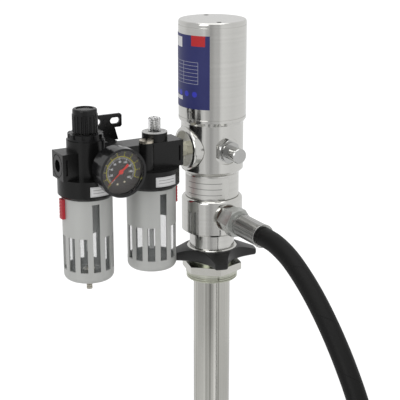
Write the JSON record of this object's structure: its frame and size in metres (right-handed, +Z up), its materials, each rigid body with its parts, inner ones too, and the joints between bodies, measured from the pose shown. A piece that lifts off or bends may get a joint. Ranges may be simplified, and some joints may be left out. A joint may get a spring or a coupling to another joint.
{
  "type": "oil dispensing drum pump",
  "caption": "Air-operated drum pump with suction tube, bung adaptor, filter regulator, lubricator, pressure gauge and a coiled delivery hose.",
  "frame": {"origin": "on the pump's axis, in the plane of the underside of the bung adaptor's hexagon, which rests on the drum's lid", "axes": "+Z up along the pump's axis, -X towards the air filter and its inlet, -Y the way that the oil outlet and the silencer point"},
  "size_m": [0.3397, 0.4062, 1.1368],
  "materials": {
    "polished_steel": "satin polished, fine turning marks",
    "tube_steel": "polished drawn tube",
    "satin_steel": "satin",
    "ground_steel": "ground bright",
    "turned_alloy": "turned",
    "plated_steel": "zinc plated, satin",
    "crimped_steel": "plated and crimped",
    "nickel_brass": "nickel plated, worn pale",
    "bearing_brass": "turned",
    "spring_steel": "oiled wire",
    "seal_rubber": "matt",
    "hose_rubber": "matt, wrapped cover",
    "black_nylon": "fine moulded grain",
    "black_paint": "satin powder coat",
    "guard_paint": "silver grey coat",
    "clear_bowl": "clear moulded polycarbonate",
    "gauge_glass": "clear",
    "white_filter": "sintered",
    "red_plastic": "moulded",
    "dial_grey": "printed",
    "needle_red": "painted",
    "label_blue": "printed foil, blank"
  },
  "bodies": {
    "pump": {"air_cylinder": "polished_steel", "cylinder_cap": "polished_steel", "motor_body": "polished_steel", "inlet_nipple": "nickel_brass", "inlet_union_nut": "nickel_brass", "silencer_nut": "plated_steel", "silencer_tube": "plated_steel", "silencer_cap": "plated_steel", "neck_sleeve": "polished_steel", "rod_gland": "bearing_brass", "outlet_body": "polished_steel", "outlet_adaptor": "plated_steel", "hose_ferrule": "crimped_steel", "hose_tube": "hose_rubber", "hose_coil": "hose_rubber", "end_ferrule": "crimped_steel", "tube_collar": "polished_steel", "suction_tube": "tube_steel", "foot_valve_body": "polished_steel", "foot_strainer": "polished_steel", "filter_body": "black_paint", "bonnet_nut": "black_nylon", "regulator_spring": "spring_steel", "diaphragm": "seal_rubber", "regulator_valve": "bearing_brass", "filter_element": "white_filter", "lubricator_body": "black_paint", "oil_pickup_tube": "white_filter", "mounting_bracket": "black_paint", "gauge_case": "black_nylon", "gauge_lens": "gauge_glass", "gauge_dial": "dial_grey", "blank_labels": "label_blue"},
    "hose_nut": {"hose_swivel_nut": "plated_steel"},
    "end_nut": {"end_swivel_nut": "plated_steel"},
    "piston": {"air_piston": "turned_alloy", "piston_seal": "seal_rubber", "piston_rod": "ground_steel", "pump_plunger": "turned_alloy"},
    "upper_ball": {"plunger_ball": "ground_steel"},
    "lower_ball": {"foot_ball": "ground_steel"},
    "spool": {"valve_spool": "ground_steel"},
    "bung": {"bung_adaptor": "plated_steel", "grip_seal": "seal_rubber"},
    "clamp_ring": {"thrust_ring": "satin_steel"},
    "star": {"star_nut": "black_nylon"},
    "spindle": {"adjusting_spindle": "ground_steel"},
    "knob": {"pressure_knob": "black_nylon"},
    "needle": {"gauge_needle": "needle_red"},
    "filter_cup": {"filter_guard": "guard_paint", "filter_bowl": "clear_bowl"},
    "drain": {"drain_valve": "nickel_brass"},
    "filter_button": {"filter_latch": "red_plastic"},
    "oil_cup": {"lubricator_guard": "guard_paint", "lubricator_bowl": "clear_bowl"},
    "oil_button": {"lubricator_latch": "red_plastic"},
    "oil_plug": {"fill_plug": "nickel_brass"},
    "drip_control": {"sight_collar": "black_nylon", "sight_dome": "clear_bowl"}
  },
  "joints": [
    {"name": "bung_slide", "type": "slide", "parent": "pump", "child": "bung", "axis": [0, 0, -1], "range_m": [0, 0.6]},
    {"name": "clamp_press", "type": "slide", "parent": "bung", "child": "clamp_ring", "axis": [0, 0, -1], "range_m": [0, 0.0011], "deforming": ["grip_seal"]},
    {"name": "star_turn", "type": "hinge", "parent": "clamp_ring", "child": "star", "pos_m": [0, 0, 0.02], "axis": [0, 0, -1], "range_deg": [0, 180]},
    {"name": "piston_stroke", "type": "slide", "parent": "pump", "child": "piston", "axis": [0, 0, 1], "range_m": [0, 0.075]},
    {"name": "upper_ball_lift", "type": "slide", "parent": "piston", "child": "upper_ball", "axis": [0, 0, 1], "range_m": [0, 0.004]},
    {"name": "lower_ball_lift", "type": "slide", "parent": "pump", "child": "lower_ball", "axis": [0, 0, 1], "range_m": [0, 0.006]},
    {"name": "spool_shift", "type": "slide", "parent": "pump", "child": "spool", "axis": [0, 0, 1], "range_m": [0, 0.007]},
    {"name": "knob_turn", "type": "hinge", "parent": "pump", "child": "spindle", "pos_m": [-0.154, 0, 0.18], "axis": [0, 0, 1], "range_deg": [0, 900]},
    {"name": "knob_pull", "type": "slide", "parent": "spindle", "child": "knob", "axis": [0, 0, 1], "range_m": [0, 0.003]},
    {"name": "needle_swing", "type": "hinge", "parent": "pump", "child": "needle", "pos_m": [-0.139, -0.054, 0.1457], "axis": [0, 1, 0], "range_deg": [0, 270], "stiffness_Nm_per_rad": 0.00002},
    {"name": "filter_cup_turn", "type": "hinge", "parent": "pump", "child": "filter_cup", "pos_m": [-0.154, 0, 0.06], "axis": [0, 0, 1], "range_deg": [0, 45]},
    {"name": "drain_push", "type": "slide", "parent": "filter_cup", "child": "drain", "axis": [0, 0, 1], "range_m": [0, 0.003], "stiffness_N_per_m": 300},
    {"name": "filter_button_press", "type": "slide", "parent": "filter_cup", "child": "filter_button", "axis": [0, 0, -1], "range_m": [0, 0.003], "stiffness_N_per_m": 300},
    {"name": "oil_cup_turn", "type": "hinge", "parent": "pump", "child": "oil_cup", "pos_m": [-0.0772, 0, 0.06], "axis": [0, 0, 1], "range_deg": [0, 45]},
    {"name": "oil_button_press", "type": "slide", "parent": "oil_cup", "child": "oil_button", "axis": [0, 0, -1], "range_m": [0, 0.003], "stiffness_N_per_m": 300},
    {"name": "oil_plug_turn", "type": "hinge", "parent": "pump", "child": "oil_plug", "pos_m": [-0.0894, -0.0143, 0.16], "axis": [0, 0, 1], "range_deg": [0, 360]},
    {"name": "drip_turn", "type": "hinge", "parent": "pump", "child": "drip_control", "pos_m": [-0.0722, 0, 0.165], "axis": [0, 0, 1], "range_deg": [0, 270]},
    {"name": "hose_nut_turn", "type": "hinge", "parent": "pump", "child": "hose_nut", "pos_m": [0, -0.053, 0.0693], "axis": [0, -1, 0], "continuous": true},
    {"name": "end_nut_turn", "type": "hinge", "parent": "pump", "child": "end_nut", "pos_m": [-0.242, -0.334, -0.8141], "axis": [-1, 0, 0], "continuous": true}
  ],
  "couplings": [
    {"joint": "clamp_press", "follows": "star_turn", "m_per_rad": 0.00034}
  ]
}
